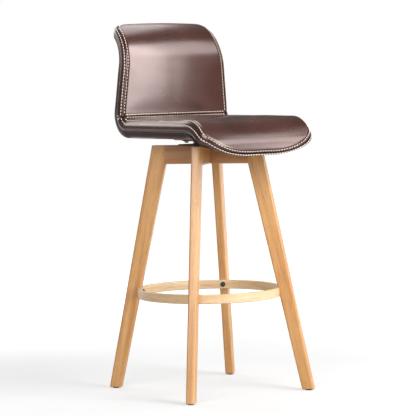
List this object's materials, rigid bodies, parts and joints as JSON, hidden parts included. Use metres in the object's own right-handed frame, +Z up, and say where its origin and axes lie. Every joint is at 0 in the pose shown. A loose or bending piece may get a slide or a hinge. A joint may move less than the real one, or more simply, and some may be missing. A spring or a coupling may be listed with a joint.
{
  "type": "bar stool",
  "caption": "Swivel bar stool: padded leather shell with a low back that curls over at the top, on splayed wooden legs with a round footrest.",
  "frame": {"origin": "on the floor, under the swivel axis, midway between the four feet", "axes": "+Z up along the swivel axis, -Y the way the seat faces, +X to the right seen from the front"},
  "size_m": [0.4286, 0.5379, 1.0419],
  "materials": {
    "beech": "clear satin varnish on honey beech",
    "bent_beech": "clear satin varnish on bent beech",
    "plywood": "raw moulded plywood",
    "leather": "semi-gloss dark brown leather with cream topstitching",
    "black_steel": "black powder coat",
    "dark_steel": "dark oxide on steel, slightly polished",
    "zinc": "bright zinc plate",
    "ball_steel": "polished bearing steel",
    "brass": "stamped brass",
    "nylon": "dark moulded nylon"
  },
  "bodies": {
    "base": {"leg_front_left": "beech", "leg_front_right": "beech", "leg_rear_left": "beech", "leg_rear_right": "beech", "rail_lower_lap": "beech", "rail_upper_lap": "beech", "frame_dowels": "beech", "foot_glides": "nylon", "footrest_ring": "bent_beech", "footrest_bolts": "dark_steel", "footrest_washers": "black_steel", "footrest_inserts": "zinc", "swivel_lower_plate": "black_steel", "swivel_lower_screws": "zinc", "swivel_pivot": "zinc"},
    "cage": {"ball_cage": "brass", "bearing_balls": "ball_steel"},
    "seat": {"swivel_upper_plate": "black_steel", "seat_bolts": "zinc", "seat_t_nuts": "zinc", "mount_board": "plywood", "seat_shell": "plywood", "seat_cushion": "leather", "back_cushion": "leather", "seat_gusset": "leather", "back_gusset": "leather", "outer_cover": "leather"}
  },
  "joints": [
    {"name": "seat_swivel", "type": "hinge", "parent": "base", "child": "seat", "pos_m": [0, 0, 0.697], "axis": [0, 0, 1], "continuous": true},
    {"name": "cage_turn", "type": "hinge", "parent": "base", "child": "cage", "pos_m": [0, 0, 0.697], "axis": [0, 0, 1], "continuous": true}
  ],
  "couplings": [
    {"joint": "cage_turn", "follows": "seat_swivel", "ratio": 0.5}
  ]
}
